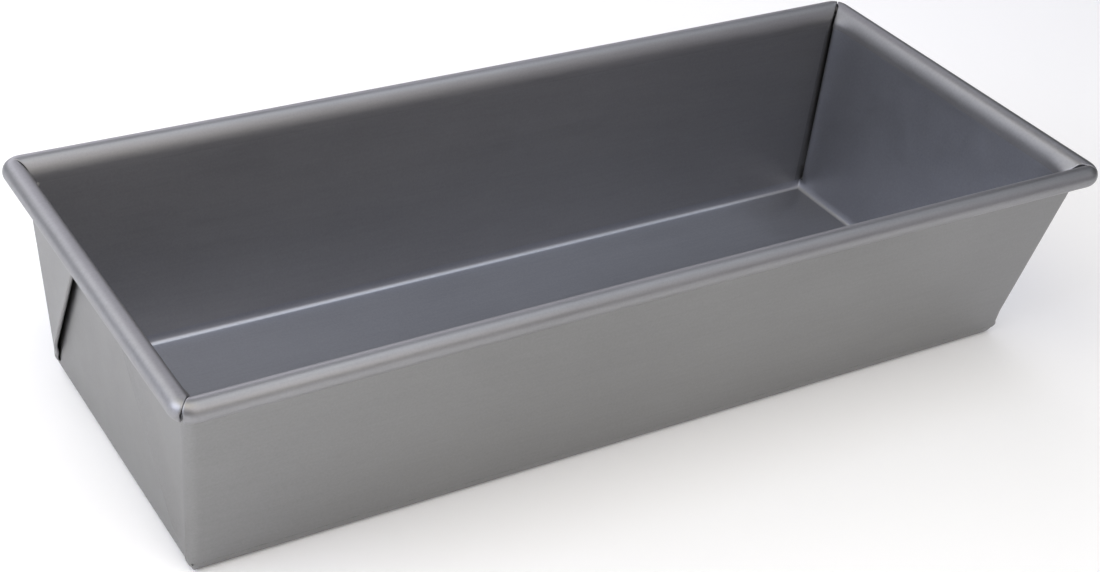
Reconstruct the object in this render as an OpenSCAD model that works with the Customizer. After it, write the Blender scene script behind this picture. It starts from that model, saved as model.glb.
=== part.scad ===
// Folded loaf pan: one sheet-metal blank, pleated at its four corners, with its edge
// rolled round a wire. Millimetres. The origin is the centre of the underside.
// +X runs along the pan, +Y across it and +Z up.

/* [Overall size] */
// Length over the rolled rim
top_length = 311.6; // [300:0.1:325]
// Width over the rolled rim
top_width = 127.8; // [120:0.1:140]
// Height from the table to the top of the rim
height = 68.8; // [55:0.1:85]
// Length of the underside, to the end walls' outer faces
bottom_length = 287; // [275:0.5:292]
// Width of the underside, to the side walls' outer faces
bottom_width = 98.9; // [90:0.1:104]

/* [Sheet metal] */
// Thickness of the sheet
sheet_t = 0.8; // [0.6:0.05:0.9]
// Outside radius of the bends along the bottom
bottom_bend_r = 2.6; // [2:0.1:4]
// Outside radius of the bends up the four corners
corner_bend_r = 3; // [2.8:0.1:3.6]
// Air gap between two folded layers
fold_gap = 0.15; // [0.05:0.05:0.2]
// Open seam inside a corner, between the side wall and the folded end wall
seam_gap = 0.85; // [0.85:0.05:1.2]
// How far up the corner the pleat's free crease starts
crease_lift = 4.5; // [0:0.5:8]
// Angle between the corner and the pleat's free crease, in degrees
crease_angle = 34.5; // [30:0.5:38]
// Gap between the top of the pleats and the curl above them
pleat_gap = 0.3; // [0.2:0.1:1]

/* [Rolled rim] */
// Outside diameter of the rolled rim
rim_d = 6.6; // [6.2:0.1:7.1]
// Radial clearance between the wire and the curl
wire_clearance = 0.12; // [0.05:0.01:0.3]
// Bend radius of the wire's centre line at the corners
rim_corner_r = 3.6; // [3.5:0.1:9]
// How far the curl wraps round the wire, in degrees
curl_sweep = 300; // [200:5:305]
// Opening between two curls at a corner, in degrees about the corner's centre
mitre_slit = 4; // [1:0.5:8]

/* [Hidden] */
$fn = 64;

steel = [0.60, 0.60, 0.61];
steel_inside = [0.45, 0.46, 0.50];
wire_steel = [0.35, 0.35, 0.36];

// The wire's centre line
rim_r = rim_d / 2;
rim_x = top_length / 2 - rim_r;
rim_y = top_width / 2 - rim_r;
rim_z = height - rim_r;
wire_r = rim_r - sheet_t - wire_clearance;

// Each wall leaves the underside at its outer edge and runs up to touch the curl
base_x = bottom_length / 2;
base_y = bottom_width / 2;
function flare(base, rim) = atan((rim - base) / rim_z)
    - asin((rim_r - sheet_t) / norm([rim - base, rim_z]));
function slope_length(base, rim) =
    sqrt(pow(rim - base, 2) + pow(rim_z, 2) - pow(rim_r - sheet_t, 2));
end_flare = flare(base_x, rim_x);
side_flare = flare(base_y, rim_y);

// Length of sheet that a bottom bend takes up, on the bottom and again on the wall
function bend_leg(lean) = bottom_bend_r * tan((90 - lean) / 2);
end_leg = bend_leg(end_flare);
side_leg = bend_leg(side_flare);
bend_top = end_leg * cos(end_flare);

// The inside corner edge, where the inner faces of an end wall and a side wall meet
corner_foot = [base_x - sheet_t / cos(end_flare), base_y - sheet_t / cos(side_flare), 0];
corner_rise = [tan(end_flare), tan(side_flare), 1];

// Axes at the corner: up the edge, square out of the end wall, and along the end wall
edge_axis = corner_rise / norm(corner_rise);
end_out = [cos(end_flare), 0, -sin(end_flare)];
side_out = [0, cos(side_flare), -sin(side_flare)];
end_along = cross(end_out, edge_axis);
side_lean = asin(cross(side_out, edge_axis) * end_along);

// The pleat lies flat on the end wall: end wall, inner layer, outer layer
fold_r = sheet_t + fold_gap / 2;
stack_t = 3 * sheet_t + 2 * fold_gap;
wrap_w = stack_t - corner_bend_r;
wrap_v = (corner_bend_r - sheet_t + wrap_w * sin(side_lean)) / cos(side_lean);
fold_v = seam_gap + fold_r;
side_cut = -(wrap_v * sin(side_lean) + wrap_w * cos(side_lean));

// Heights where the pleat's crease starts and where the pleat is cut off under the curl
crease_start = crease_lift + fold_r / sin(crease_angle);
pleat_split = max(wrap_v, fold_v);
pleat_top = rim_z - rim_r - pleat_gap;

far = 200;
very_far = 2 * far;

// Slice of a disc between two angles; the rest is cut away as a wedge
module disc_sector(r, from, to) {
    reach = 4 * r;
    gap = 360 - (to - from);
    steps = ceil(gap / 60);
    difference() {
        circle(r = r);
        polygon(concat([[0, 0]],
            [for (i = [0 : steps]) reach * [cos(to + gap * i / steps), sin(to + gap * i / steps)]]));
    }
}

// The same slice of a ring
module ring_sector(outer_r, inner_r, from, to) {
    difference() {
        disc_sector(outer_r, from, to);
        circle(r = inner_r);
    }
}

// Flat trapezoid of sheet between a bottom bend and the curl. The outer face stands on the
// line x = base; half_low is its half width at the underside and spread its growth per mm.
module wall_sheet(base, lean, leg, length, half_low, spread) {
    outline = [[half_low + spread * leg, leg], [half_low + spread * length, length],
               [-half_low - spread * length, length], [-half_low - spread * leg, leg]];
    translate([base, 0, 0]) rotate([0, lean, 0]) translate([-sheet_t, 0, 0])
        rotate([90, 0, 90]) linear_extrude(sheet_t) polygon(outline);
}

module end_wall() {
    spread = tan(side_flare) * cos(end_flare);
    half_low = corner_foot[1] + sheet_t * tan(end_flare) * spread - fold_v / cos(atan(spread));
    color(steel_inside) wall_sheet(base_x, end_flare, end_leg,
        slope_length(base_x, rim_x), half_low, spread);
}

module side_wall() {
    spread = tan(end_flare) * cos(side_flare);
    half_low = corner_foot[0] + sheet_t * tan(side_flare) * spread - side_cut / cos(atan(spread));
    color(steel) rotate([0, 0, 90]) wall_sheet(base_y, side_flare, side_leg,
        slope_length(base_y, rim_y), half_low, spread);
}

// Section of a shallow basin: flat bottom and a round bend at each side, ending where the
// walls begin. The hollow one lies a sheet's thickness inside and rises past the other.
module basin_section(base, lean, leg, hollow) {
    half_flat = base - leg;
    inset = hollow ? sheet_t : 0;
    level = hollow ? 2 * bottom_bend_r : bottom_bend_r;
    bend_end = hollow ? 0 : -lean;
    translate([-half_flat, inset]) square([2 * half_flat, level - inset]);
    for (side = [0, 1])
        mirror([side, 0]) translate([half_flat, bottom_bend_r])
            disc_sector(bottom_bend_r - inset, -90, bend_end);
}

// The filled basin, where a section along the pan meets one across it
module basin(hollow) {
    intersection() {
        rotate([90, 0, 0]) linear_extrude(very_far, center = true)
            basin_section(base_x, end_flare, end_leg, hollow);
        rotate([90, 0, 90]) linear_extrude(very_far, center = true)
            basin_section(base_y, side_flare, side_leg, hollow);
    }
}

module bottom_panel() {
    color(steel_inside) difference() {
        basin(hollow = false);
        basin(hollow = true);
    }
}

// Places its children at the inside corner edge of the back right corner:
// local x runs along the end wall, local y out of it and local z up the edge
module at_corner_edge() {
    multmatrix([for (row = [0 : 2])
        [end_along[row], end_out[row], edge_axis[row], corner_foot[row]]]) children();
}

// The bend from the side wall to the outer layer, and the fold from the end wall
// to the inner layer, each with a strip of its layer
module pleat_root() {
    translate([wrap_v, wrap_w])
        ring_sector(corner_bend_r, corner_bend_r - sheet_t, 90, 180 - side_lean);
    translate([fold_v, fold_r]) ring_sector(fold_r, fold_gap / 2, 90, 270);
    if (pleat_split > wrap_v)
        translate([wrap_v, stack_t - sheet_t]) square([pleat_split - wrap_v, sheet_t]);
    if (pleat_split > fold_v)
        translate([fold_v, sheet_t + fold_gap]) square([pleat_split - fold_v, sheet_t]);
}

// Hairpin section of the free crease: outer and inner layer joined by a half round
module pleat_crease() {
    reach = far / 2;
    ring_sector(fold_r, fold_gap / 2, -90, 90);
    translate([-reach, fold_gap / 2]) square([reach, sheet_t]);
    translate([-reach, -fold_r]) square([reach, sheet_t]);
}

// Triangular pleat of one corner, drawn at the back right corner and cut off level
// just above the bottom bends and just under the curl
module corner_fold() {
    color(steel) intersection() {
        at_corner_edge() {
            linear_extrude(far) pleat_root();
            intersection() {
                translate([0, sheet_t + fold_gap + fold_r, crease_start])
                    rotate([0, crease_angle, 0]) linear_extrude(far) pleat_crease();
                translate([pleat_split, -far, -far]) cube(very_far);
            }
        }
        translate([-far, -far, bend_top]) cube([very_far, very_far, pleat_top - bend_top]);
    }
}

// Section of the rolled edge round the wire, which is at the origin of the section
module curl_section(lean) {
    ring_sector(rim_r, rim_r - sheet_t, 180 - lean - curl_sweep, 180 - lean);
}

// Rolled edge of the wall on the +X side, with its half of each rounded corner
module rim_curl(half_run, lean) {
    color(steel) translate([0, 0, rim_z]) {
        rotate([90, 0, 0]) linear_extrude(2 * half_run, center = true) curl_section(lean);
        for (side = [0, 1])
            mirror([0, side, 0]) translate([-rim_corner_r, half_run, 0])
                rotate_extrude(angle = 45 - mitre_slit / 2)
                    translate([rim_corner_r, 0]) curl_section(lean);
    }
}

module end_rim_curl() {
    translate([rim_x, 0, 0]) rim_curl(rim_y - rim_corner_r, end_flare);
}

module side_rim_curl() {
    translate([0, rim_y, 0]) rotate([0, 0, 90]) rim_curl(rim_x - rim_corner_r, side_flare);
}

// Closed wire ring inside the curls
module rim_wire() {
    run = [rim_x - rim_corner_r, rim_y - rim_corner_r];
    color(wire_steel) translate([0, 0, rim_z]) {
        for (side = [-1, 1]) {
            translate([side * rim_x, 0, 0]) rotate([90, 0, 0])
                cylinder(r = wire_r, h = 2 * run[1], center = true);
            translate([0, side * rim_y, 0]) rotate([0, 90, 0])
                cylinder(r = wire_r, h = 2 * run[0], center = true);
        }
        for (turn = [0, 1], flip = [0, 1])
            mirror([turn, 0, 0]) mirror([0, flip, 0]) translate([run[0], run[1], 0])
                rotate_extrude(angle = 90) translate([rim_corner_r, 0]) circle(r = wire_r);
    }
}

bottom_panel();
mirror([0, 1, 0]) side_wall();  // front_wall
side_wall();  // back_wall
mirror([1, 0, 0]) end_wall();  // left_end_wall
end_wall();  // right_end_wall
mirror([1, 0, 0]) mirror([0, 1, 0]) corner_fold();  // corner_fold_front_left
mirror([0, 1, 0]) corner_fold();  // corner_fold_front_right
mirror([1, 0, 0]) corner_fold();  // corner_fold_back_left
corner_fold();  // corner_fold_back_right
mirror([0, 1, 0]) side_rim_curl();  // front_rim_curl
side_rim_curl();  // back_rim_curl
mirror([1, 0, 0]) end_rim_curl();  // left_rim_curl
end_rim_curl();  // right_rim_curl
rim_wire();
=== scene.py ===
from math import asin, atan2, cos, hypot, pi, radians, sin, sqrt, tan

import bmesh
import bpy
from mathutils import Matrix, Vector


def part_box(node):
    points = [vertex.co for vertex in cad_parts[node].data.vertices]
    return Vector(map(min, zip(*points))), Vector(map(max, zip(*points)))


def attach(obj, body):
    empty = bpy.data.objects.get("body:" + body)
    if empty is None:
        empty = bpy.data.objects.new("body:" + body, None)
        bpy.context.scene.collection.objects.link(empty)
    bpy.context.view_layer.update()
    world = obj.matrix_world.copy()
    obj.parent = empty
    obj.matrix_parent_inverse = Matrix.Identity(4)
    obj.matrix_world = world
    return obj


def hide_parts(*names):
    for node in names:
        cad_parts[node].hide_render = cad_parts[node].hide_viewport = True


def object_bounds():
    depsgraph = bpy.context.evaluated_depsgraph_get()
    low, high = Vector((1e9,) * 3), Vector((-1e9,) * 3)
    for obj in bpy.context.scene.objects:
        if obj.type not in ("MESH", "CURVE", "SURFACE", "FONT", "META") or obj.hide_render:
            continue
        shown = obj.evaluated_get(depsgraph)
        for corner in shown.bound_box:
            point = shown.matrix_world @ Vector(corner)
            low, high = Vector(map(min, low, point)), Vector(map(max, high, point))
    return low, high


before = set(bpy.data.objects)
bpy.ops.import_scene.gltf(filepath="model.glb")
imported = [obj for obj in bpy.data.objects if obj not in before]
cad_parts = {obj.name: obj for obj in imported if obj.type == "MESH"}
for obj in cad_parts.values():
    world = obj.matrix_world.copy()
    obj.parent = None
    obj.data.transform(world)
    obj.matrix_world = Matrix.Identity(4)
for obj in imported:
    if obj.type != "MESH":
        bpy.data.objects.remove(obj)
cad_low, cad_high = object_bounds()

# ------------------------------------------------------------------ sizes, in millimetres
MM = 0.001

# The rolled rim stands where the frame has its wire
wire_low, wire_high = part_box("rim_wire")
WIRE_R = (wire_high.z - wire_low.z) / 2 / MM
RIM_Z = (wire_high.z + wire_low.z) / 2 / MM
RIM_R = cad_high.z / MM - RIM_Z
RIM_X = cad_high.x / MM - RIM_R
RIM_Y = cad_high.y / MM - RIM_R
RIM_CORNER_R = 3.0      # bend radius of the wire at a corner

BASE_X = 143.5          # half the length of the underside
BASE_Y = 49.45          # half its width
SHEET = 0.8             # thickness of the sheet
LAYER_GAP = 0.15        # air between two folded layers
STACK = 3 * SHEET + 2 * LAYER_GAP

# Bend from the bottom into a wall: tight at the bottom, then easing into the wall
BEND_R = 1.6
BEND_EASE_R = 6.0
BEND_EASE = radians(22)
BEND_MITRE = 7          # sharpness of the corner where two bottom bends meet

# Curl: the wall eases outwards before it rolls round the wire
LEAD_R = 9.0
LEAD_TURN = radians(28)
CURL_SWEEP = radians(300)

# The regions of the blank meet in flat sheet, above the bottom bends and below the curl
LOW_CUT = 3.6
HIGH_CUT = 61.9
STRIP = 2.5             # flat strip of side wall that belongs to a pleat
PLEAT_TOP = 65.6        # the pleat's layers run up into the curl
PLEAT_INSET = 0.3       # and there they lie just behind the curl's own sheet
PLEAT_INSET_RISE = 0.5  # height over which they step behind it
PLEAT_LIP = 0.6         # and they thin out to this; hidden there, they still cut into the wire

# Corner pleat: it wraps the corner, runs along the end wall and turns back at its crease
WRAP_R = 3.0            # outside radius of the bend round the corner
WRAP_FOOT_R = 1.7       # and at the foot of the corner
WRAP_GROWTH = 6.0       # height over which it grows
CREASE_FOOT = 3.2       # height where the crease leaves the corner
CREASE_SLOPE = 0.68     # run of the crease along the end wall for each millimetre up
CREASE_CURVE = 0.0004   # and how that run grows further up
FLAP_LIFT = 1.35        # how far the crease stands off the end wall
FLAP_LIFT_RUN = 12.0    # width of flap that is lifted
FLAP_FOOT = 2.4         # crease run where the lift starts
FLAP_FOOT_RUN = 5.0     # and over which it becomes full
DOG_EAR_DEPTH = 1.8     # how far the rounded foot of a pleat hangs below the low cut
DOG_EAR_TURN = radians(84)
DOG_EAR_CLOSE = [(0.3, 0.9), (0.2, 0.2)]    # where its outline closes, out and along
DOG_EAR_TIP = (0.1, 0.5)

# The end wall folds back at the seam inside the corner and swells into the pan beside it
SEAM = 0.65
SEAM_FOOT = 0.2         # extra width of the seam at its foot
SWELL_FOOT = 0.25
SWELL_TOP = 0.95
SWELL_FOOT_RUN = 4.0
SWELL_TOP_RUN = 10.0
SWELL_RISE = 55         # height over which it goes from its foot to its top values
SWELL_START = 4         # height over which it starts
SWELL_FALL = 2.2        # how fast it dies away along the wall
SEAM_FOOT_RISE = 9      # height over which the seam narrows

# Each corner is pressed by hand and dies, so its pleat stands a little further in or out
# than three tight layers would: (at its foot, under the curl)
CORNER_SET = {"front_left": (-1.2, -0.3), "front_right": (-0.3, 2.5),
              "back_left": (-0.9, -0.9), "back_right": (-0.5, 0.2)}
# Its foot is pressed flatter or left to bulge: share of the full thickness
FOOT_THICKNESS = {"front_left": 0.85, "front_right": 1.35, "back_left": 0.35, "back_right": 0.6}
FOOT_RISE = 1.6         # height over which a pleat reaches its full thickness

# The long walls bow inwards a little at mid length
FRONT_BOW = 0.7
BACK_BOW = 0.6


# ------------------------------------------------------------------ sections of the sheet
def walk(x, z, heading, moves):
    """Stations (x, z, heading) along lines and arcs. A move is (length, 0, steps) or
    (radius, turn, steps); a positive turn goes left and a negative one right."""
    stations = [(x, z, heading)]
    for size, turn, steps in moves:
        for _ in range(steps):
            if turn:
                after = heading + turn / steps
                bend = size if turn > 0 else -size
                x += bend * (sin(after) - sin(heading))
                z -= bend * (cos(after) - cos(heading))
                heading = after
            else:
                x += cos(heading) * size / steps
                z += sin(heading) * size / steps
            stations.append((x, z, heading))
    return stations


def beside(station, distance):
    """The point that lies a distance to the right of a station."""
    x, z, heading = station
    return x + distance * sin(heading), z - distance * cos(heading)


class Section:
    """Pan-side face of one wall, from the bottom to the lip of its curl."""

    def __init__(self, base, rim):
        ease = LEAD_R - RIM_R
        inset = RIM_R + ease * (1 - cos(LEAD_TURN))
        across = rim - base
        self.base = base
        self.rim = rim
        self.lean = atan2(across, RIM_Z) - asin((inset - SHEET) / hypot(across, RIM_Z))
        self.up = pi / 2 - self.lean
        bends = [(BEND_R, self.up - BEND_EASE, 10), (BEND_EASE_R, BEND_EASE, 5)]
        rise = walk(0, SHEET, 0, bends)
        shift = self.face(rise[-1][1]) - rise[-1][0]
        self.bend = [(x + shift, z, heading) for x, z, heading in rise]
        self.bend.append((self.face(LOW_CUT), LOW_CUT, self.up))
        climb = ease * sin(LEAD_TURN)
        start_x = rim - inset * cos(self.lean) - climb * sin(self.lean)
        start_z = RIM_Z + inset * sin(self.lean) - climb * cos(self.lean)
        rolls = [(LEAD_R, -LEAD_TURN, 8), (RIM_R, LEAD_TURN - CURL_SWEEP, 50)]
        self.curl = [(self.face(HIGH_CUT), HIGH_CUT, self.up)]
        self.curl += walk(start_x, start_z, self.up, rolls)

    def face(self, z):
        """Distance of the flat inner face from the middle of the pan at one height."""
        return self.base + z * tan(self.lean) - SHEET / cos(self.lean)

    def rolled_face(self, z):
        """The same above the high cut, where the sheet eases into the curl."""
        below, above = self.curl[0], self.curl[1]
        for station in self.curl[2:]:
            if above[1] >= z:
                break
            below, above = above, station
        return mix(below[0], above[0], (z - below[1]) / (above[1] - below[1]))


END = Section(BASE_X, RIM_X)
SIDE = Section(BASE_Y, RIM_Y)


def spread(low, high, steps):
    return [low + (high - low) * i / steps for i in range(steps + 1)]


def mix(a, b, t):
    return a + (b - a) * min(max(t, 0), 1)


def smooth(t):
    t = min(max(t, 0), 1)
    return t * t * (3 - 2 * t)


def mirrored(half):
    """A run of points from its end to the middle, and on to the other end."""
    other = [(-along, out, z) for along, out, z in reversed(half)]
    return half + other[1:] if half[-1][0] == 0 else half + other


# ------------------------------------------------------------------ meshes
def settle(x, y, z):
    """The finished pan isn't quite straight: its long walls bow in towards the rim."""
    bow = FRONT_BOW if y < 0 else BACK_BOW
    y -= bow * (y / RIM_Y) * (z / RIM_Z) * (1 - (x / RIM_X) ** 2)
    return (x * MM, y * MM, z * MM)


def make_piece(node, points, faces, materials, pan_side=0):
    """A piece that stands for one node. The first faces, pan_side of them, take the first
    material and the rest take the last."""
    mesh = bpy.data.meshes.new(node + "_sheet")
    mesh.from_pydata([settle(*p) for p in points], [], faces)
    work = bmesh.new()
    work.from_mesh(mesh)
    bmesh.ops.recalc_face_normals(work, faces=work.faces)
    work.to_mesh(mesh)
    work.free()
    mesh.shade_smooth()
    mesh.set_sharp_from_angle(angle=radians(38))
    for material in materials:
        mesh.materials.append(material)
    for polygon in mesh.polygons[pan_side:]:
        polygon.material_index = len(materials) - 1
    piece = bpy.data.objects.new(node + "_shaped", mesh)
    bpy.context.scene.collection.objects.link(piece)
    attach(piece, "root")
    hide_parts(node)
    return piece


def grid_faces(rows, columns, first):
    faces = []
    for r in range(rows - 1):
        for c in range(columns - 1):
            a = first + r * columns + c
            faces.append((a, a + 1, a + columns + 1, a + columns))
    return faces


def sheet(front, back):
    """Points and faces of a closed piece of sheet from its two faces, which are rows of
    points, with strips that close its four edges."""
    rows = len(front)
    columns = len(front[0])
    second = rows * columns
    points = [p for row in front + back for p in row]
    faces = grid_faces(rows, columns, 0) + grid_faces(rows, columns, second)
    border = list(range(columns))
    border += [r * columns + columns - 1 for r in range(1, rows)]
    border += [(rows - 1) * columns + c for c in range(columns - 2, -1, -1)]
    border += [r * columns for r in range(rows - 2, 0, -1)]
    for a, b in zip(border, border[1:] + border[:1]):
        faces.append((a, b, second + b, second + a))
    return points, faces


def make_sheet_piece(node, front, back, materials):
    points, faces = sheet(front, back)
    pan_side = (len(front) - 1) * (len(front[0]) - 1)
    make_piece(node, points, faces, materials, pan_side=pan_side)


# ------------------------------------------------------------------ bottom
def bottom_rows(through):
    """Grid of the bottom and its bends, on the pan side or a sheet's thickness below."""
    along = [(*beside(s, through), s[2]) for s in END.bend]
    across = [(*beside(s, through), s[2]) for s in SIDE.bend]
    level = SHEET - through
    xs = [(x, level) for x in spread(-along[0][0], along[0][0], 30)]
    ys = [(y, level) for y in spread(-across[0][0], across[0][0], 12)]
    xs = [(-x, z) for x, z, _ in reversed(along[1:])] + xs + [(x, z) for x, z, _ in along[1:]]
    ys = [(-y, z) for y, z, _ in reversed(across[1:])] + ys + [(y, z) for y, z, _ in across[1:]]
    rows = []
    for y, rise_y in ys:
        row = []
        for x, rise_x in xs:
            total = (rise_x - level) ** BEND_MITRE + (rise_y - level) ** BEND_MITRE
            blend = total ** (1 / BEND_MITRE)
            top = max(rise_x, rise_y)
            row.append((x, y, min(level + blend, max(top, LOW_CUT - through))))
        rows.append(row)
    return rows


def make_bottom(materials):
    make_sheet_piece("bottom_panel", bottom_rows(0), bottom_rows(SHEET), materials)


# ------------------------------------------------------------------ corners
def seam_width(z):
    return SEAM + SEAM_FOOT * (1 - smooth((z - LOW_CUT) / SEAM_FOOT_RISE))


def swell(z):
    """How far the end wall's fold swells into the pan at one height."""
    full = mix(SWELL_FOOT, SWELL_TOP, (z - LOW_CUT) / SWELL_RISE)
    return full * smooth((z - LOW_CUT) / SWELL_START)


def swell_at(z, from_corner):
    """The same beside the seam, where the swelling dies away along the end wall."""
    start = seam_width(z) + fold_radius(z)
    run = mix(SWELL_FOOT_RUN, SWELL_TOP_RUN, (z - LOW_CUT) / SWELL_RISE)
    left = 1 - min(max((from_corner - start) / run, 0), 1)
    return swell(z) * left ** SWELL_FALL


def fold_radius(z):
    return SHEET + (LAYER_GAP + swell(z)) / 2


def crease_run(z):
    rise = max(z - CREASE_FOOT, 0)
    return CREASE_SLOPE * rise + CREASE_CURVE * rise ** 2


STRIP_STEPS = 3
WRAP_STEPS = 10
LAYER_STEPS = 16
CREASE_STEPS = 10
FOLD_BACK_STEP = STRIP_STEPS + WRAP_STEPS + LAYER_STEPS
FOLD_STEP = FOLD_BACK_STEP + CREASE_STEPS + LAYER_STEPS


def pleat_path(z):
    """Middle of the folded sheet at one height: strip of side wall, bend round the corner,
    outer layer, crease, inner layer and the fold back to the end wall. Its first
    coordinate runs out of the end wall and its second along it, from the corner."""
    wrap_r = mix(WRAP_FOOT_R, WRAP_R, (z - LOW_CUT) / WRAP_GROWTH)
    fold_at = seam_width(z) + fold_radius(z)
    crease = max(crease_run(z), fold_at + 0.1, wrap_r - SHEET + 0.1)
    hairpin = (SHEET + LAYER_GAP) / 2
    moves = [(STRIP + STACK - wrap_r, 0, STRIP_STEPS), (wrap_r - SHEET / 2, pi / 2, WRAP_STEPS),
             (crease - wrap_r + SHEET, 0, LAYER_STEPS), (hairpin, pi, CREASE_STEPS),
             (crease - fold_at, 0, LAYER_STEPS), (fold_radius(z) - SHEET / 2, -pi / 2, 6)]
    return walk(-STRIP, -SHEET / 2, 0, moves), crease


def flap_lift(along, crease):
    run = min(FLAP_LIFT_RUN, crease - 0.8)
    near = 1 - min(max((crease - along) / run, 0), 1)
    return FLAP_LIFT * near ** 2 * smooth((crease - FLAP_FOOT) / FLAP_FOOT_RUN)


def set_weight(index):
    """How much of a corner's set a station of the path takes: none where the strip meets
    the side wall, all of it on the outer layer, little on the layers beneath."""
    if index < STRIP_STEPS:
        return index / STRIP_STEPS
    if index < FOLD_BACK_STEP:
        return 1
    return mix(1, 0.2, (index - FOLD_BACK_STEP) / CREASE_STEPS) if index < FOLD_STEP else 0


def corner_point(out, along, z):
    if z <= HIGH_CUT:
        return (END.face(z) + out, SIDE.face(z) - along, z)
    behind = PLEAT_INSET * smooth((z - HIGH_CUT) / PLEAT_INSET_RISE)
    out = min(out, mix(2 * STACK, PLEAT_LIP, (z - HIGH_CUT) / (PLEAT_TOP - HIGH_CUT)))
    return (END.rolled_face(z) + out + behind, SIDE.rolled_face(z) - along + behind, z)


def pleat_line(z, side, corner):
    """Points (out, along) of one face of the folded sheet at one height."""
    path, crease = pleat_path(z)
    shift = mix(*CORNER_SET[corner], (z - LOW_CUT) / (HIGH_CUT - LOW_CUT))
    thickness = mix(FOOT_THICKNESS[corner], 1, smooth((z - LOW_CUT) / FOOT_RISE))
    line = []
    for index, station in enumerate(path):
        out, along = beside(station, side * SHEET / 2)
        out += flap_lift(station[1], crease) + shift * set_weight(index)
        line.append((out * thickness if out > 0 else out, along))
    return line


def pleat_rows(heights, side, corner):
    rows = []
    for z in heights:
        line = pleat_line(z, side, corner)
        rows.append([corner_point(out, along, z) for out, along in line])
    return rows


def dog_ear(points, faces, corner):
    """Rounded foot of a pleat, which closes the fold below the low cut."""
    line = pleat_line(LOW_CUT, 1, corner)
    outline = line[:FOLD_BACK_STEP + CREASE_STEPS // 2] + DOG_EAR_CLOSE
    count = len(outline)
    first = len(points)
    turns = spread(0, DOG_EAR_TURN, 8)
    for turn in turns:
        z = LOW_CUT - DOG_EAR_DEPTH * sin(turn)
        for out, along in outline:
            reach = cos(turn)
            points.append(corner_point(DOG_EAR_TIP[0] + (out - DOG_EAR_TIP[0]) * reach,
                                       DOG_EAR_TIP[1] + (along - DOG_EAR_TIP[1]) * reach, z))
    for ring in range(len(turns) - 1):
        for i in range(count):
            a = first + ring * count + i
            b = first + ring * count + (i + 1) % count
            faces.append((a, b, b + count, a + count))
    faces.append(tuple(first + i for i in range(count)))
    faces.append(tuple(first + (len(turns) - 1) * count + i for i in range(count)))


def make_corner(corner, flip_x, flip_y, materials):
    heights = spread(LOW_CUT, 12, 14) + spread(12, HIGH_CUT, 26)[1:]
    heights += spread(HIGH_CUT, PLEAT_TOP, 10)[1:]
    points, faces = sheet(pleat_rows(heights, 1, corner), pleat_rows(heights, -1, corner))
    dog_ear(points, faces, corner)
    points = [(x * flip_x, y * flip_y, z) for x, y, z in points]
    make_piece("corner_fold_" + corner, points, faces, materials)


# ------------------------------------------------------------------ walls
def make_side_wall(node, flip_y, materials):
    faces_of = []
    for through in (0, SHEET / cos(SIDE.lean)):
        rows = []
        for z in spread(LOW_CUT, HIGH_CUT, 20):
            half = END.face(z) - STRIP
            face = flip_y * (SIDE.face(z) + through)
            rows.append([(x, face, z) for x in spread(-half, half, 60)])
        faces_of.append(rows)
    make_sheet_piece(node, *faces_of, materials)


def end_wall_half(z, through):
    """From the seam to the middle of an end wall: quarter round, swelling and flat sheet."""
    radius = fold_radius(z)
    centre_out = radius - swell(z)
    centre_along = seam_width(z) + radius
    half = []
    for turn in spread(0, pi / 2, 8):
        half.append((centre_out - (radius - through) * sin(turn),
                     centre_along - (radius - through) * cos(turn)))
    run = mix(SWELL_FOOT_RUN, SWELL_TOP_RUN, (z - LOW_CUT) / SWELL_RISE)
    for along in spread(centre_along, centre_along + run, 12)[1:]:
        half.append((through - swell_at(z, along), along))
    for along in spread(centre_along + run, SIDE.face(z), 8)[1:]:
        half.append((through, along))
    return [(SIDE.face(z) - along, END.face(z) + out, z) for out, along in half]


def make_end_wall(node, flip_x, materials):
    faces_of = []
    for through in (0, SHEET):
        rows = []
        for z in spread(LOW_CUT, 10, 8) + spread(10, HIGH_CUT, 24)[1:]:
            half = end_wall_half(z, through)
            half[-1] = (0, half[-1][1], z)
            rows.append([(flip_x * out, along, z) for along, out, z in mirrored(half)])
        faces_of.append(rows)
    make_sheet_piece(node, *faces_of, materials)


# ------------------------------------------------------------------ rolled rim
# Distances of the columns from the slit between two curls
SLIT_STOPS = (0, 0.06, 0.15, 0.3, 0.5, 0.8, 1.2, 1.7, 2.3, 3.0, 3.8, 4.7, 5.7, 6.8, 8.0,
              9.4, 11.0, 13.0)
SLIT_EDGE_R = 0.3       # rounding of the curls' ends
# Where a slit widens, inside the pan and on its outer side: heading of the sheet, and run
SLIT_INSIDE = (radians(8), radians(32))
SLIT_OUTSIDE = (radians(50), radians(40))
# How far each curl stands back from the slit: the end curl and the side curl inside the
# pan, both of them over the top of the rim, and both of them under its outer side
SLITS = {"front_left": (0.3, 0.15, 0.03, 0.55), "front_right": (0.9, 0.6, 0.05, 0.25),
         "back_left": (0.35, 0.1, 0.03, 0.45), "back_right": (0.5, 0.35, 0.16, 0.3)}


def slit_half_width(heading, corner, folded):
    end_inner, side_inner, top, outer = SLITS[corner]
    inner = end_inner if folded else side_inner
    inside = smooth((heading - SLIT_INSIDE[0]) / SLIT_INSIDE[1])
    outside = smooth((-heading - SLIT_OUTSIDE[0]) / SLIT_OUTSIDE[1])
    return top + (inner - top) * inside + (outer - top) * outside


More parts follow.
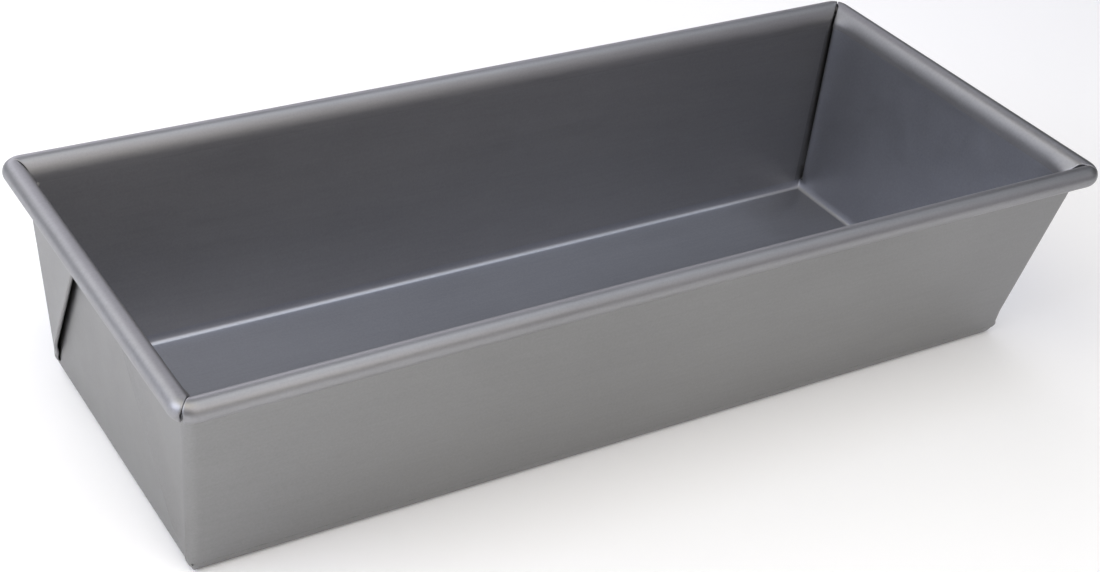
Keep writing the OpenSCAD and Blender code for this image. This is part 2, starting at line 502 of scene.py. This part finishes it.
def curl_half(section, station, other_run, through, corner, folded):
    """Half of one line along a curl, from its half of a rounded corner to the middle."""
    out, z, heading = station
    room = RIM_CORNER_R + out - section.rim
    radius = max(room, 0.001)
    reach = other_run + min(room, 0) + radius * pi / 4 - slit_half_width(heading, corner, folded)
    lead = smooth((heading - section.up + LEAD_TURN) / LEAD_TURN) if folded else 0
    edge_r = mix(SLIT_EDGE_R, fold_radius(HIGH_CUT), lead)
    half = []
    middle = spread(reach - SLIT_STOPS[-1], 0, 18)[1:]
    for length in [reach - stop for stop in SLIT_STOPS] + middle:
        dip = 0
        short = edge_r - (reach - length)
        if short > 0:
            dip = edge_r - sqrt(edge_r ** 2 - short ** 2 * 0.98)
        turn = max(length - other_run, 0) / radius
        along = min(length, other_run) + radius * sin(turn)
        from_corner = SIDE.face(HIGH_CUT) - along
        inward = lead * swell_at(HIGH_CUT, from_corner)
        sunk_out, sunk_z = beside((out, z, heading), through + dip)
        radius_here = radius + sunk_out - out
        if turn > 0:
            along = other_run + max(radius_here, 0.01) * sin(turn)
        half.append((along, sunk_out - inward - radius * (1 - cos(turn)), sunk_z))
    return half


def curl_rows(section, other_rim, through, corners, folded):
    """Lines along a curl between two corners, named at its positive end first."""
    rows = []
    for station in section.curl:
        ends = [curl_half(section, station, other_rim - RIM_CORNER_R, through, corner, folded)
                for corner in corners]
        other = [(-along, out, z) for along, out, z in reversed(ends[1])]
        rows.append(ends[0] + other[1:])
    return rows


def make_end_curl(side, flip_x, materials):
    faces_of = []
    for through in (0, SHEET):
        rows = curl_rows(END, RIM_Y, through, ("back_" + side, "front_" + side), True)
        faces_of.append([[(flip_x * out, along, z) for along, out, z in row] for row in rows])
    make_sheet_piece(side + "_rim_curl", *faces_of, materials)


def make_side_curl(side, flip_y, materials):
    faces_of = []
    for through in (0, SHEET):
        rows = curl_rows(SIDE, RIM_X, through, (side + "_right", side + "_left"), False)
        faces_of.append([[(along, flip_y * out, z) for along, out, z in row] for row in rows])
    make_sheet_piece(side + "_rim_curl", *faces_of, materials)


def make_wire(materials):
    """Closed ring of round wire inside the curls."""
    centre = []
    run_x = RIM_X - RIM_CORNER_R
    run_y = RIM_Y - RIM_CORNER_R
    for quarter, (sx, sy) in enumerate(((1, 1), (-1, 1), (-1, -1), (1, -1))):
        for turn in spread(quarter * pi / 2, (quarter + 1) * pi / 2, 8):
            centre.append((sx * run_x + RIM_CORNER_R * cos(turn),
                           sy * run_y + RIM_CORNER_R * sin(turn), cos(turn), sin(turn)))
        if quarter in (0, 2):
            for x in spread(sx * run_x, -sx * run_x, 24)[1:-1]:
                centre.append((x, sy * RIM_Y, 0, sy))
    points = []
    sides = 20
    for x, y, out_x, out_y in centre:
        for turn in spread(0, 2 * pi, sides)[:-1]:
            reach = WIRE_R * cos(turn)
            points.append((x + out_x * reach, y + out_y * reach, RIM_Z + WIRE_R * sin(turn)))
    faces = []
    for ring in range(len(centre)):
        after = (ring + 1) % len(centre)
        for i in range(sides):
            j = (i + 1) % sides
            faces.append((ring * sides + i, ring * sides + j, after * sides + j, after * sides + i))
    make_piece("rim_wire", points, faces, materials)


# ------------------------------------------------------------------ materials
SPECK_COLOUR = (0.16, 0.16, 0.17)
# Painted highlight: the light colour given to the bottom bend.
BEND_HIGHLIGHT_COLOUR = (0.85, 0.86, 0.88)
# Painted shade: the near black that occluded seams, slits and folds take on.
CREVICE_SHADE_COLOUR = (0.04, 0.04, 0.04)
ROUGHNESS_SPREAD = 0.04
BUMP_DEPTH = 0.02 * MM


def make_group(name, inputs, outputs):
    """Empty node group with float inputs (name, value) and outputs (name, socket type)."""
    group = bpy.data.node_groups.new(name, "ShaderNodeTree")
    for label, value in inputs:
        socket = group.interface.new_socket(label, in_out="INPUT", socket_type="NodeSocketFloat")
        socket.default_value = value
    for label, kind in outputs:
        group.interface.new_socket(label, in_out="OUTPUT", socket_type=kind)
    return group, group.nodes.new("NodeGroupInput"), group.nodes.new("NodeGroupOutput")


def math_node(tree, operation, a, b):
    node = tree.nodes.new("ShaderNodeMath")
    node.operation = operation
    for socket, value in zip(node.inputs, (a, b)):
        if isinstance(value, (int, float)):
            socket.default_value = value
        else:
            tree.links.new(value, socket)
    return node.outputs[0]


def noise_node(tree, vector, scale, detail, roughness=0.5):
    node = tree.nodes.new("ShaderNodeTexNoise")
    node.inputs["Detail"].default_value = detail
    node.inputs["Roughness"].default_value = roughness
    if isinstance(scale, (int, float)):
        node.inputs["Scale"].default_value = scale
    else:
        tree.links.new(scale, node.inputs["Scale"])
    tree.links.new(vector, node.inputs["Vector"])
    return node


def range_node(tree, value, from_low, from_high, to_low, to_high):
    node = tree.nodes.new("ShaderNodeMapRange")
    tree.links.new(value, node.inputs["Value"])
    node.inputs["From Min"].default_value = from_low
    node.inputs["From Max"].default_value = from_high
    node.inputs["To Min"].default_value = to_low
    node.inputs["To Max"].default_value = to_high
    return node.outputs["Result"]


def stretched(tree, scale):
    place = tree.nodes.new("ShaderNodeTexCoord")
    mapping = tree.nodes.new("ShaderNodeMapping")
    mapping.inputs["Scale"].default_value = scale
    tree.links.new(place.outputs["Object"], mapping.inputs["Vector"])
    return mapping.outputs["Vector"]


def make_rolled_grain():
    """Fine satin grain of rolled sheet: a pebbled ground with faint lines along the pan."""
    inputs = [("Scale", 1), ("Lines", 0.4)]
    outputs = [("Grain", "NodeSocketFloat"), ("Height", "NodeSocketFloat")]
    group, given, result = make_group("rolled_grain", inputs, outputs)
    scale = given.outputs["Scale"]
    fine = noise_node(group, stretched(group, (1, 1, 1)),
                      math_node(group, "MULTIPLY", scale, 1500), 3, 0.6)
    lines = noise_node(group, stretched(group, (0.05, 1, 1)),
                       math_node(group, "MULTIPLY", scale, 1100), 2, 0.5)
    weight = math_node(group, "MULTIPLY", lines.outputs["Fac"], given.outputs["Lines"])
    both = math_node(group, "ADD", fine.outputs["Fac"], weight)
    group.links.new(both, result.inputs["Height"])
    group.links.new(range_node(group, both, 0.4, 1.0, 0, 1), result.inputs["Grain"])
    return group


def make_handling():
    """Marks of handling: broad cloudy patches, faint drag marks and a few dark specks."""
    inputs = [("Specks", 0.5)]
    outputs = [("Cloud", "NodeSocketFloat"), ("Drag", "NodeSocketFloat"),
               ("Speck", "NodeSocketFloat")]
    group, given, result = make_group("handling_marks", inputs, outputs)
    cloud = noise_node(group, stretched(group, (0.6, 1, 1)), 14, 4, 0.55)
    drag = noise_node(group, stretched(group, (0.12, 1, 1)), 120, 3, 0.6)
    specks = group.nodes.new("ShaderNodeTexVoronoi")
    specks.inputs["Scale"].default_value = 60
    group.links.new(stretched(group, (1, 1, 1)), specks.inputs["Vector"])
    near = range_node(group, specks.outputs["Distance"], 0.02, 0.045, 1, 0)
    chosen = group.nodes.new("ShaderNodeSeparateColor")
    group.links.new(specks.outputs["Color"], chosen.inputs["Color"])
    rare = range_node(group, chosen.outputs["Red"], 0.90, 0.94, 0, 1)
    speck = math_node(group, "MULTIPLY", near, rare)
    group.links.new(math_node(group, "MULTIPLY", speck, given.outputs["Specks"]),
                    result.inputs["Speck"])
    group.links.new(range_node(group, cloud.outputs["Fac"], 0.3, 0.7, 0, 1),
                    result.inputs["Cloud"])
    group.links.new(range_node(group, drag.outputs["Fac"], 0.35, 0.75, 0, 1),
                    result.inputs["Drag"])
    return group


def make_crevice_shade():
    """Painted shade: mask of tight seams and folds from ambient occlusion, which takes their colour
    nearly to black as a shadow would.
    """
    inputs = [("Reach", 1.5 * MM)]
    outputs = [("Shade", "NodeSocketFloat")]
    group, given, result = make_group("crevice_shade", inputs, outputs)
    closed = group.nodes.new("ShaderNodeAmbientOcclusion")
    closed.samples = 8
    group.links.new(given.outputs["Reach"], closed.inputs["Distance"])
    group.links.new(range_node(group, closed.outputs["AO"], 0.2, 0.62, 1, 0),
                    result.inputs["Shade"])
    return group


def make_bend_highlight():
    """Painted highlight: mask of the tight bend round the bottom, whose colour is lightened to
    stand in for the bright line of light along it.
    """
    group, given, result = make_group("painted_bend_highlight", [("Strength", 0.5)],
                                      [("Highlight", "NodeSocketFloat")])
    place = group.nodes.new("ShaderNodeTexCoord")
    split = group.nodes.new("ShaderNodeSeparateXYZ")
    group.links.new(place.outputs["Object"], split.inputs["Vector"])
    height = split.outputs["Z"]
    above = range_node(group, height, (SHEET + 0.03) * MM, (SHEET + 0.12) * MM, 0, 1)
    below = range_node(group, height, (SHEET + 0.5) * MM, (SHEET + 2.7) * MM, 1, 0)
    both = math_node(group, "MULTIPLY", above, below)
    group.links.new(math_node(group, "MULTIPLY", both, given.outputs["Strength"]),
                    result.inputs["Highlight"])
    return group


def place_group(tree, group, **values):
    node = tree.nodes.new("ShaderNodeGroup")
    node.node_tree = group
    for label, value in values.items():
        node.inputs[label].default_value = value
    return node


def blend_colours(tree, factor, a, b):
    node = tree.nodes.new("ShaderNodeMix")
    node.data_type = "RGBA"
    tree.links.new(factor, node.inputs["Factor"])
    for socket, value in ((node.inputs["A"], a), (node.inputs["B"], b)):
        if isinstance(value, tuple):
            socket.default_value = (*value, 1)
        else:
            tree.links.new(value, socket)
    return node.outputs["Result"]


def make_steel(name, dark, light, roughness, grain_scale, lines, bump, specks, bend_highlight=0):
    """Satin metal: base colour, roughness and bump all vary with the grain and handling. The base
    colour also carries a painted highlight on the bottom bend and painted shade in seams and folds.
    """
    material = bpy.data.materials.new(name)
    material.use_nodes = True
    tree = material.node_tree
    shader = tree.nodes["Principled BSDF"]
    shader.inputs["Metallic"].default_value = 1.0
    grain = place_group(tree, ROLLED_GRAIN, Scale=grain_scale, Lines=lines)
    marks = place_group(tree, HANDLING, Specks=specks)
    tone = math_node(tree, "ADD", math_node(tree, "MULTIPLY", grain.outputs["Grain"], 0.55),
                     math_node(tree, "MULTIPLY", marks.outputs["Cloud"], 0.45))
    colour = blend_colours(tree, tone, dark, light)
    spotted = blend_colours(tree, marks.outputs["Speck"], colour, SPECK_COLOUR)
    bends = place_group(tree, BEND_HIGHLIGHT, Strength=bend_highlight)
    # Painted highlight: the bottom bend is lightened towards a near white.
    bend_highlighted = blend_colours(tree, bends.outputs["Highlight"], spotted, BEND_HIGHLIGHT_COLOUR)
    crevice_shade = place_group(tree, CREVICE_SHADE)
    # Painted shade: occluded seams, slits and folds turn near black.
    crevice_shaded = blend_colours(tree, crevice_shade.outputs["Shade"], bend_highlighted, CREVICE_SHADE_COLOUR)
    tree.links.new(crevice_shaded, shader.inputs["Base Color"])
    polish = math_node(tree, "ADD", math_node(tree, "MULTIPLY", marks.outputs["Drag"], 0.4),
                       math_node(tree, "MULTIPLY", grain.outputs["Grain"], 0.6))
    varied = range_node(tree, polish, 0, 1, roughness - ROUGHNESS_SPREAD,
                        roughness + ROUGHNESS_SPREAD)
    tree.links.new(varied, shader.inputs["Roughness"])
    relief = tree.nodes.new("ShaderNodeBump")
    relief.inputs["Strength"].default_value = bump
    relief.inputs["Distance"].default_value = BUMP_DEPTH
    tree.links.new(grain.outputs["Height"], relief.inputs["Height"])
    tree.links.new(relief.outputs["Normal"], shader.inputs["Normal"])
    return material


ROLLED_GRAIN = make_rolled_grain()
HANDLING = make_handling()
CREVICE_SHADE = make_crevice_shade()
BEND_HIGHLIGHT = make_bend_highlight()


def make_studio_white():
    material = bpy.data.materials.new("studio_white")
    material.use_nodes = True
    tree = material.node_tree
    shader = tree.nodes["Principled BSDF"]
    shader.inputs["Roughness"].default_value = 0.9
    shader.inputs["Specular IOR Level"].default_value = 0.1
    cloud = noise_node(tree, stretched(tree, (1, 1, 1)), 2, 2)
    colour = blend_colours(tree, cloud.outputs["Fac"], (0.93, 0.93, 0.93), (0.95, 0.95, 0.95))
    tree.links.new(colour, shader.inputs["Base Color"])
    shader.inputs["Emission Color"].default_value = (1, 1, 1, 1)
    shader.inputs["Emission Strength"].default_value = FLOOR_GLOW
    return material


# ------------------------------------------------------------------ studio
CAMERA_PLACE = Vector((-301.996, -383.465, 347.436)) * MM
CAMERA_RIGHT = Vector((0.87680, -0.47445, 0.07819))
CAMERA_UP = Vector((0.21167, 0.52684, 0.82319))
CAMERA_LENS = 61.68
CAMERA_SHIFT = 0.16528
BACKDROP_GLOW = 0.02
BACKDROP_WHITE = 0.9
FLOOR_GLOW = 0.07


def make_camera():
    data = bpy.data.cameras.new("studio_camera")
    data.sensor_width = 36
    data.lens = CAMERA_LENS
    data.shift_x = CAMERA_SHIFT
    data.clip_start = 0.01
    camera = bpy.data.objects.new("studio_camera", data)
    right = CAMERA_RIGHT.normalized()
    back = right.cross(CAMERA_UP).normalized()
    up = back.cross(right)
    turn = Matrix((right, up, back)).transposed()
    camera.matrix_world = Matrix.Translation(CAMERA_PLACE) @ turn.to_4x4()
    bpy.context.scene.collection.objects.link(camera)
    bpy.context.scene.camera = camera


def make_floor():
    mesh = bpy.data.meshes.new("floor")
    half = 4.0
    corners = [(-half, -half, 0), (half, -half, 0), (half, half, 0), (-half, half, 0)]
    mesh.from_pydata(corners, [], [(0, 1, 2, 3)])
    mesh.materials.append(make_studio_white())
    floor = bpy.data.objects.new("floor", mesh)
    bpy.context.scene.collection.objects.link(floor)


# Softboxes round the table, aimed at the pan:
# name, azimuth from +X, elevation, distance and size in metres, power in watts, colour
SOFTBOXES = (
    ("back_low", 90, 22, 2.2, 1.3, 11.2, (0.95, 0.92, 1.0)),
    ("front_high", -90, 50, 2.2, 1.3, 5.8, (0.80, 0.81, 1.0)),
    ("front_near", -90, 35, 0.8, 0.6, 1.6, (1.0, 0.94, 0.85)),
    ("front_right_low", -45, 22, 2.2, 1.3, 2.4, (0.92, 0.88, 1.0)),
    ("front_right_high", -45, 50, 2.2, 1.3, 4.2, (0.94, 0.98, 1.0)),
    ("overhead_right", 0, 72, 2.2, 1.3, 12.0, (0.87, 0.91, 1.0)),
    ("left_near", 180, 30, 0.8, 0.5, 3.3, (0.83, 0.86, 1.0)),
    ("left_high", 215, 65, 0.9, 0.6, 2.0, (1.0, 0.91, 0.68)),
    ("back_left_low", 150, 30, 0.8, 0.5, 0.5, (0.97, 0.98, 1.0)),
    ("back_left_high", 150, 50, 0.8, 0.5, 0.8, (1.0, 0.98, 0.82)),
    ("behind_near", 120, 40, 0.8, 0.5, 0.7, (0.84, 0.87, 1.0)),
    ("back_right_near", 60, 30, 0.8, 0.5, 0.9, (0.92, 0.90, 1.0)),
)


def make_softbox(name, azimuth, elevation, distance, size, power, colour):
    data = bpy.data.lights.new(name, "AREA")
    data.shape = "SQUARE"
    data.size = size
    data.energy = power
    data.color = colour
    light = bpy.data.objects.new(name, data)
    level = cos(radians(elevation))
    towards = Vector((level * cos(radians(azimuth)), level * sin(radians(azimuth)),
                      sin(radians(elevation))))
    light.location = towards * distance
    light.rotation_euler = (-towards).to_track_quat("-Z", "Y").to_euler()
    light.visible_camera = False
    bpy.context.scene.collection.objects.link(light)


def make_backdrop():
    """Plain white behind the table; it hardly lights the pan."""
    world = bpy.data.worlds.new("backdrop")
    world.use_nodes = True
    tree = world.node_tree
    glow = tree.nodes["Background"]
    glow.inputs["Strength"].default_value = BACKDROP_GLOW
    white = tree.nodes.new("ShaderNodeBackground")
    white.inputs["Strength"].default_value = BACKDROP_WHITE
    for node in (glow, white):
        node.inputs["Color"].default_value = (1, 1, 1, 1)
    path = tree.nodes.new("ShaderNodeLightPath")
    choose = tree.nodes.new("ShaderNodeMixShader")
    tree.links.new(path.outputs["Is Camera Ray"], choose.inputs["Fac"])
    tree.links.new(glow.outputs["Background"], choose.inputs[1])
    tree.links.new(white.outputs["Background"], choose.inputs[2])
    tree.links.new(choose.outputs["Shader"], tree.nodes["World Output"].inputs["Surface"])
    bpy.context.scene.world = world


def make_studio():
    make_backdrop()
    for softbox in SOFTBOXES:
        make_softbox(*softbox)
    bpy.context.scene.view_settings.view_transform = "Standard"


# ------------------------------------------------------------------ the pan
make_camera()
# One steel throughout, in copies whose base colours paint light and shade: lighter and bluish
# inside the pan for the bluish light reflected there, less blue on the long walls, darker outside.
# The curl's copy lies between them. The inside copy also takes a weak painted highlight on its
# bottom bend.
outside = make_steel("rolled_sheet_outside_painted_shade", (0.235, 0.235, 0.235), (0.31, 0.31, 0.31),
                     0.44, 1.0, 0.4, 0.5, 0.4)
inside = make_steel("rolled_sheet_inside_painted_blue_light", (0.30, 0.31, 0.345), (0.40, 0.41, 0.45),
                    0.44, 1.0, 0.4, 0.5, 0.6, 0.12)
long_inside = make_steel("rolled_sheet_long_walls_painted_light", (0.30, 0.30, 0.31), (0.40, 0.40, 0.41),
                         0.44, 1.0, 0.4, 0.5, 0.4)
curled = make_steel("curled_sheet", (0.27, 0.27, 0.28), (0.35, 0.35, 0.36),
                    0.48, 1.0, 0.7, 0.5, 0.3)
drawn = make_steel("drawn_wire", (0.10, 0.10, 0.11), (0.18, 0.18, 0.19), 0.55, 1.4, 0.2, 0.4, 0.2)
make_bottom([inside, outside])
for name, flip in (("front", -1), ("back", 1)):
    make_side_wall(name + "_wall", flip, [long_inside, outside])
    make_side_curl(name, flip, [curled])
for name, flip in (("left", -1), ("right", 1)):
    make_end_wall(name + "_end_wall", flip, [inside, outside])
    make_end_curl(name, flip, [curled])
for depth, flip_y in (("front", -1), ("back", 1)):
    for side, flip_x in (("left", -1), ("right", 1)):
        make_corner(depth + "_" + side, flip_x, flip_y, [outside])
make_wire([drawn])
make_floor()
make_studio()
